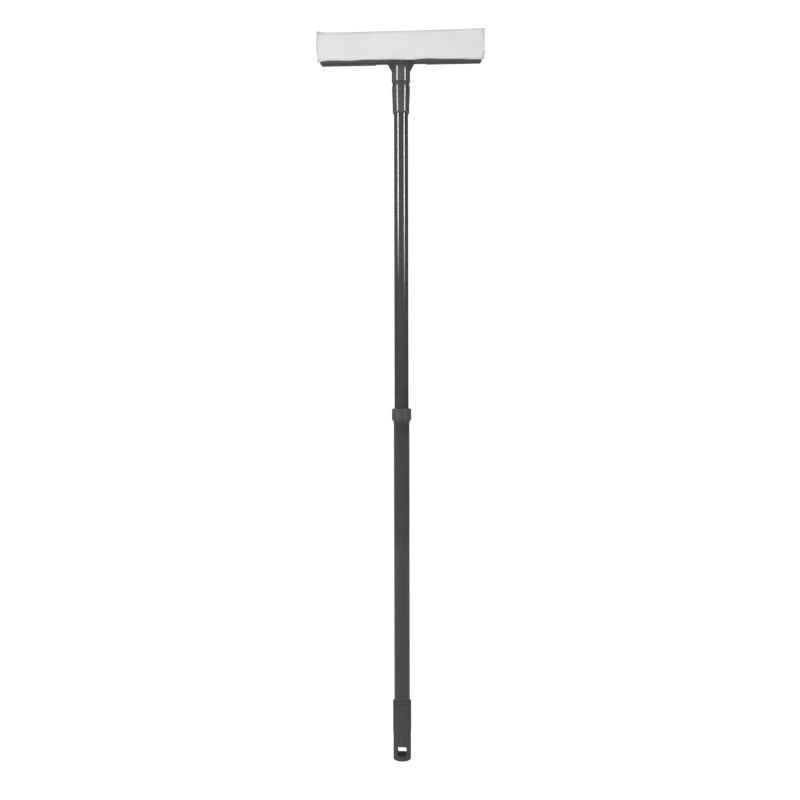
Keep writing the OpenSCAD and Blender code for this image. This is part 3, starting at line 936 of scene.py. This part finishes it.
def makeCover():
    verts, faces, flat, count = buildCover()
    panelStart = len(faces)
    verts, faces, spines = addEndPanels(verts, faces, count)
    piece = makeObject("padCover", verts, faces)
    setFlat(piece.data, flat, panelStart)
    columns = pad["columns"]
    # the hem, back edge, end outlines, returns and spines stay where they are
    held = {index: 1.0 for index in spines}
    for i in range(columns + 1):
        for j in range(count):
            if j < 2 or j > count - 4 or i in (0, columns):
                held[i * count + j] = 1.0
    for index in range((columns + 1) * count, len(verts)):
        if abs(verts[index].x) < halfWide + 0.000001:
            held[index] = 1.0
    relaxCover(piece, held)
    for vertex in piece.data.vertices:
        p = vertex.co
        soft = noise.noise(Vector((p.x * 14, p.y * 60, p.z * 26))) * pad["wave"]
        crease = noise.noise(Vector((p.x * 11 + 3, p.y * 40, p.z * 170))) * pad["crease"]
        level = 1 - max(0.0, min(1.0, (p.z - coverHigh.z + pad["creaseTop"]) / 0.006))
        vertex.co = p + vertex.normal * (soft + crease * level)
    rows = np.array([piece.data.vertices[i].co for i in range((columns + 1) * count)])
    rows = rows.reshape(columns + 1, count, 3)
    bm = bmesh.new()
    bm.from_mesh(piece.data)
    bmesh.ops.remove_doubles(bm, verts=bm.verts, dist=pad["weld"])
    bmesh.ops.recalc_face_normals(bm, faces=bm.faces)
    bm.to_mesh(piece.data)
    bm.free()
    wall = piece.modifiers.new("wall", "SOLIDIFY")
    wall.thickness = pad["thickness"]
    wall.offset = -1
    subdivideOnce(piece)
    dress(piece, "mesh")
    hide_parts("pad_cover")
    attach(piece, "head")
    return piece, rows


cover, coverRows = makeCover()
print("cover made")


# Sweeps a section along a path. Each stop is a point and two directions,
# and the section's numbers run along those.
def sweep(name, stops, section):
    n = len(section)
    verts = []
    flat = {}
    lengths = flatLengths([stop[0] for stop in stops])
    around = [0.0]
    for a, b in zip(section, section[1:] + section[:1]):
        around.append(around[-1] + math.dist(a, b))
    for s, (point, first, second) in enumerate(stops):
        for k, (a, b) in enumerate(section):
            flat[len(verts)] = (lengths[s], around[k])
            verts.append(point + first * a + second * b)
    faces = []
    for s in range(len(stops) - 1):
        for k in range(n):
            m = (k + 1) % n
            faces.append((s * n + k, s * n + m, (s + 1) * n + m, (s + 1) * n + k))
    faces.append(tuple(range(n))[::-1])
    faces.append(tuple(range((len(stops) - 1) * n, len(stops) * n)))
    piece = makeObject(name, verts, faces)
    setFlat(piece.data, flat)
    bm = bmesh.new()
    bm.from_mesh(piece.data)
    bmesh.ops.recalc_face_normals(bm, faces=bm.faces)
    bm.to_mesh(piece.data)
    bm.free()
    return piece


hem = {
    "height": 0.0030,
    "thick": 0.0022,
    "sides": 14,
    "raised": 0.35,     # its middle above the cloth's edge, as a share of its height
    "wander": 0.0001,
}


# A rolled hem round the cover's lower front edge
def makeHem():
    h, t = hem["height"], hem["thick"]
    n = hem["sides"]
    section = [(t / 2 * math.cos(a), h / 2 * math.sin(a))
               for a in (2 * math.pi * i / n for i in range(n))]
    stops = []
    for row in coverRows:
        point = Vector(row[0])
        x = point.x / halfWide
        point.y += hem["wander"] * math.sin(40 * x)
        point.z += h * hem["raised"]
        stops.append((point, Vector((0, 1, 0)), Vector((0, 0, 1))))
    piece = sweep("coverHem", stops, section)
    dress(piece, "hem")
    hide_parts("cover_hem")
    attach(piece, "head")
    return piece


coverHem = makeHem()

binding = {
    "wide": 0.0042,    # on the front of the pad
    "side": 0.0034,    # on its end
    "proud": 0.00035,
}


# Tape folded round each end edge of the cover
def makeBinding(side):
    w, s, p = binding["wide"], binding["side"], binding["proud"]
    # across the front face, round the edge and down the end panel
    section = [
        (-w, 0.0), (-w, p * 0.8), (-w * 0.5, p), (-p, p * 1.15), (p * 0.6, p * 0.7),
        (p * 1.4, -p * 0.4), (p * 1.6, -s * 0.5), (p * 1.4, -s), (p * 0.4, -s), (p * 0.2, -p), (-p, 0.0),
    ]
    rim = [Vector(place) for place in coverRows[0 if side < 0 else -1]]
    stops = []
    for j, point in enumerate(rim):
        before, after = rim[max(0, j - 1)], rim[min(len(rim) - 1, j + 1)]
        run = after - before
        run.x = 0
        run.normalize()
        outward = Vector((0, -run.z, run.y))
        stops.append((point, Vector((side, 0, 0)), outward))
    piece = sweep("coverBindingLeft" if side < 0 else "coverBindingRight", stops, section)
    subdivideOnce(piece)
    dress(piece, "edge")
    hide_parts("cover_binding_left" if side < 0 else "cover_binding_right")
    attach(piece, "head")
    return piece, stops


bindings = [makeBinding(-1), makeBinding(1)]

stitch = {
    "length": 0.0022,
    "gap": 0.0011,
    "radius": 0.00022,
    "rings": 5,
    "sides": 6,
    "fromEdge": 0.0011,   # from the tape's inner edge to the stitches
    "above": 0.0001,      # off the cloth, along the hem
}


# A run of lockstitches along a line of (point, outward) pairs
def makeStitches(name, line):
    points = [p for p, _ in line]
    lengths = flatLengths(points)
    rings, sides = stitch["rings"], stitch["sides"]
    verts, faces = [], []

    def at(distance):
        for k in range(len(lengths) - 1):
            if lengths[k + 1] >= distance:
                t = (distance - lengths[k]) / max(lengths[k + 1] - lengths[k], 1e-9)
                outward = line[k][1].lerp(line[k + 1][1], t).normalized()
                return points[k].lerp(points[k + 1], t), outward
        return points[-1], line[-1][1]

    start = stitch["gap"]
    while start + stitch["length"] < lengths[-1]:
        base = len(verts)
        for k in range(rings):
            t = k / (rings - 1)
            centre, outward = at(start + t * stitch["length"])
            ahead, _ = at(start + t * stitch["length"] + 0.0002)
            run = (ahead - centre).normalized()
            across = run.cross(outward).normalized()
            swell = math.sin(math.pi * (0.08 + 0.84 * t)) ** 0.5
            centre = centre + outward * (stitch["radius"] * (1.6 * swell - 1.1))
            for a in range(sides):
                angle = 2 * math.pi * a / sides
                way = outward * math.sin(angle) + across * math.cos(angle)
                verts.append(centre + way * stitch["radius"] * swell)
        for k in range(rings - 1):
            here, ahead = base + k * sides, base + (k + 1) * sides
            for a in range(sides):
                b = (a + 1) % sides
                faces.append((here + a, here + b, ahead + b, ahead + a))
        faces.append(tuple(base + a for a in range(sides))[::-1])
        faces.append(tuple(base + (rings - 1) * sides + a for a in range(sides)))
        start += stitch["length"] + stitch["gap"]
    piece = makeObject(name, verts, faces)
    dress(piece, "thread")
    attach(piece, "head")


# The hem's stitches run along the third row up, a little off the cloth
hemLine = []
for row in coverRows[1:-1]:
    point, above = Vector(row[2]), Vector(row[3])
    face = (above - point).normalized()
    outward = Vector((0, -face.z, face.y))
    hemLine.append((point + outward * stitch["above"], outward))
makeStitches("hemStitches", hemLine)
for side, (_, stops) in zip((-1, 1), bindings):
    inward = -(binding["wide"] - stitch["fromEdge"])
    line = [(point + along * inward + outward * binding["proud"] * 0.93, outward)
            for point, along, outward in stops]
    makeStitches("bindingStitchesLeft" if side < 0 else "bindingStitchesRight", line)
print("hem, bindings and stitches made")


foam = {
    "round": 0.007,        # front top edge
    "sideGap": 0.0006,     # from the solid to the foam, at the ends and front
    "backGap": 0.0001,
    "topGap": 0.0012,
    "grid": 0.002,         # between the mesh's points
    "pits": 0.00022,
    "waves": 0.0003,
    "slack": 0.0004,       # more than the cover's own sag
    "fill": 0.85,          # of the solid
    "bosses": 4,           # screw bosses of the pad board, that stand in its back
    "bossRadius": 0.005,
    "bossDepth": 0.0068,
    "screwHead": 0.003,    # radius
}


def bossPlaces():
    low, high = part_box("head_screws")
    reach = (high.x - low.x) / 2 - foam["screwHead"]
    last = foam["bosses"] - 1
    return [-reach + 2 * reach * i / last for i in range(foam["bosses"])]


def makeFoam():
    side = foam["sideGap"]
    low = foamLow + Vector((side, side, 0))
    high = foamHigh - Vector((side, foam["backGap"], foam["topGap"]))
    bm = bmesh.new()
    bmesh.ops.create_cube(bm, size=1)
    size = high - low
    for vertex in bm.verts:
        vertex.co = Vector([low[k] + (vertex.co[k] + 0.5) * size[k] for k in range(3)])
    rounded = [e for e in bm.edges
               if all(v.co.y < low.y + 0.001 and v.co.z > high.z - 0.001 for v in e.verts)]
    bmesh.ops.bevel(bm, geom=rounded, offset=foam["round"], segments=8, affect="EDGES", profile=0.5)
    mesh = bpy.data.meshes.new("foamBlock")
    bm.to_mesh(mesh)
    bm.free()
    piece = bpy.data.objects.new("foamBlock", mesh)
    scene.collection.objects.link(piece)
    grid = piece.modifiers.new("grid", "REMESH")
    grid.mode = "VOXEL"
    grid.voxel_size = foam["grid"]
    relax = piece.modifiers.new("relax", "SMOOTH")
    relax.iterations = 3
    bakeModifiers(piece)
    for vertex in piece.data.vertices:
        p = vertex.co
        pit = noise.noise(p * 420) * foam["pits"] + noise.noise(p * 60) * foam["waves"]
        vertex.co = p + vertex.normal * (pit - foam["waves"])
        forward = max(0.0, min(1.0, (foamHigh.y - p.y) / (foamHigh.y - foamLow.y)))
        upward = max(0.0, (p.z - foamLow.z) / (foamHigh.z - foamLow.z)) ** 2
        vertex.co.y += (frontRecess(p.x / halfWide) + side) * forward
        vertex.co.z -= (topSag(max(-1.0, min(1.0, p.x / halfWide))) + foam["slack"]) * upward
    screwLow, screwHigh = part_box("head_screws")
    bossLevel = (screwLow.z + screwHigh.z) / 2
    for x in bossPlaces():
        for vertex in piece.data.vertices:
            p = vertex.co
            near = math.hypot(p.x - x, p.z - bossLevel)
            if near < foam["bossRadius"] and p.y > foamHigh.y - 0.003:
                vertex.co.y = p.y - foam["bossDepth"]
    smoothFaces(piece.data)
    dress(piece, "foam")
    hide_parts("foam_pad")
    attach(piece, "head")


makeFoam()
print("foam made")


# Soft lamps that only light, in watts and metres
lamps = {
    "keyLight": {
        "place": (-1.35, -1.6, 1.9), "target": (0, 0, 0.85),
        "size": (0.9, 0.9), "power": 14.5,
    },
    "frontLight": {
        "place": (0.2, -2.3, 0.4), "target": (0, 0, 0.9),
        "size": (1.6, 1.2), "power": 8.5,
    },
    "rightLight": {
        "place": (2.0, -0.7, 0.8), "target": (0, 0, 0.8),
        "size": (1.0, 1.8), "power": 13.0,
    },
    "leftLight": {
        "place": (-2.0, -0.7, 0.7), "target": (0, 0, 0.6),
        "size": (1.0, 1.8), "power": 15.0,
    },
    "backLight": {
        "place": (0.7, 2.3, 1.3), "target": (0, 0, 0.7),
        "size": (1.6, 1.8), "power": 22.0,
    },
    "topLight": {
        "place": (0.2, 0.1, 2.6), "target": (0, 0, 0.8),
        "size": (1.6, 1.6), "power": 6.0,
    },
    # reaches the underside of the crossbar and leaves the lower pole alone
    "lowLight": {
        "place": (-0.1, -1.25, 0.08), "target": (0, 0, 1.0),
        "size": (0.5, 0.5), "power": 0.9, "spread": 50,
    },
}


def areaLight(name, place, target, size, power):
    data = bpy.data.lights.new(name, "AREA")
    data.shape = "RECTANGLE"
    data.size, data.size_y = size
    data.energy = power
    lamp = bpy.data.objects.new(name, data)
    scene.collection.objects.link(lamp)
    lamp.location = place
    lamp.rotation_euler = (Vector(target) - Vector(place)).to_track_quat("-Z", "Y").to_euler()
    lamp.visible_glossy = False
    return lamp


def placeLamps():
    for name, look in lamps.items():
        lamp = areaLight(name, look["place"], look["target"], look["size"], look["power"])
        if "spread" in look:
            lamp.data.spread = math.radians(look["spread"])


# Angles are in degrees from the camera, heights in metres above it. A box is full
# from low to high, and fades out over the stretch below.
strips = {
    "radiance": 16.0,
    "wide": 0.37,
    "reach": 1.4,     # from the pole's axis
    "steps": 6,       # in the fade
    "boxes": {
        "stripLeft": {"angle": -50.5, "low": 0.56, "high": 1.345, "fade": 0.20},
        "stripRight": {"angle": 52.7, "low": 0.58, "high": 1.345, "fade": 0.28},
    },
}


# A tall lamp that is seen only as a reflection
def stripLamp(name, angle, low, high, radiance):
    turn = math.radians(view["azimuth"] + angle)
    reach, wide = strips["reach"], strips["wide"]
    tall = high - low
    middle = view["height"] + (low + high) / 2
    place = Vector((math.sin(turn) * reach, -math.cos(turn) * reach, middle))
    lamp = areaLight(name, place, (0, 0, middle), (wide, tall), radiance * wide * tall * math.pi)
    lamp.visible_diffuse = False
    lamp.visible_glossy = True


def placeStrips():
    steps = strips["steps"]
    for name, box in strips["boxes"].items():
        angle, low, fade = box["angle"], box["low"], box["fade"]
        stripLamp(name, angle, low, box["high"], strips["radiance"])
        for i in range(steps):
            top = low - fade * i / steps
            share = 1 - (i + 0.5) / steps
            stripLamp(name + "Fade%d" % i, angle, top - fade / steps, top, strips["radiance"] * share)


room = {
    "white": 1.05,        # what the camera sees behind everything
    "gloss": 0.05,        # what shiny surfaces mirror of the room
    "fill": 0.30,         # soft light from all round
    "floorGlow": 0.85,    # what the camera sees of the floor
    "floorBounce": 0.1,   # what everything else gets from it
    "floorDark": (0.34, 0.34, 0.34),
    "floorPale": (0.37, 0.37, 0.37),
    "floorGap": 0.0002,   # under the grip
}


def buildWorld():
    world = bpy.data.worlds.new("paleRoom")
    world.use_nodes = True
    tree = world.node_tree
    background = tree.nodes["Background"]
    background.inputs["Color"].default_value = (1, 1, 1, 1)
    rays = tree.nodes.new("ShaderNodeLightPath")
    seen = mathNode(tree, "MULTIPLY", rays.outputs["Is Camera Ray"], room["white"])
    gloss = mathNode(tree, "MULTIPLY", rays.outputs["Is Glossy Ray"], room["gloss"])
    either = mathNode(tree, "ADD", rays.outputs["Is Camera Ray"], rays.outputs["Is Glossy Ray"])
    other = mathNode(tree, "SUBTRACT", 1.0, either, clamp=True)
    fill = mathNode(tree, "MULTIPLY", other, room["fill"])
    total = mathNode(tree, "ADD", mathNode(tree, "ADD", seen, gloss), fill)
    tree.links.new(total, background.inputs["Strength"])
    scene.world = world


def buildFloor():
    foot = cadLow.z - room["floorGap"]
    corners = [(-12, -8, foot), (12, -8, foot), (12, 30, foot), (-12, 30, foot)]
    piece = makeObject("paleFloor", corners, [(0, 1, 2, 3)])
    material, tree, shader = newMaterial("paleFloor")
    speck = noiseNode(tree, objectPoint(tree), 14.0, 3.0, 0.5)
    tone = mixColour(tree, speck, room["floorDark"], room["floorPale"])
    tree.links.new(tone, shader.inputs["Base Color"])
    shader.inputs["Roughness"].default_value = 0.9
    shader.inputs["Specular IOR Level"].default_value = 0.0
    shader.inputs["Emission Color"].default_value = (1, 1, 1, 1)
    rays = tree.nodes.new("ShaderNodeLightPath")
    seen = mathNode(tree, "MULTIPLY", rays.outputs["Is Camera Ray"], room["floorGlow"])
    glow = mathNode(tree, "ADD", seen, room["floorBounce"])
    tree.links.new(glow, shader.inputs["Emission Strength"])
    piece.data.materials.append(material)


scene.view_settings.view_transform = "Standard"
placeCamera()
buildWorld()
buildFloor()
placeLamps()
placeStrips()
print("lights placed")
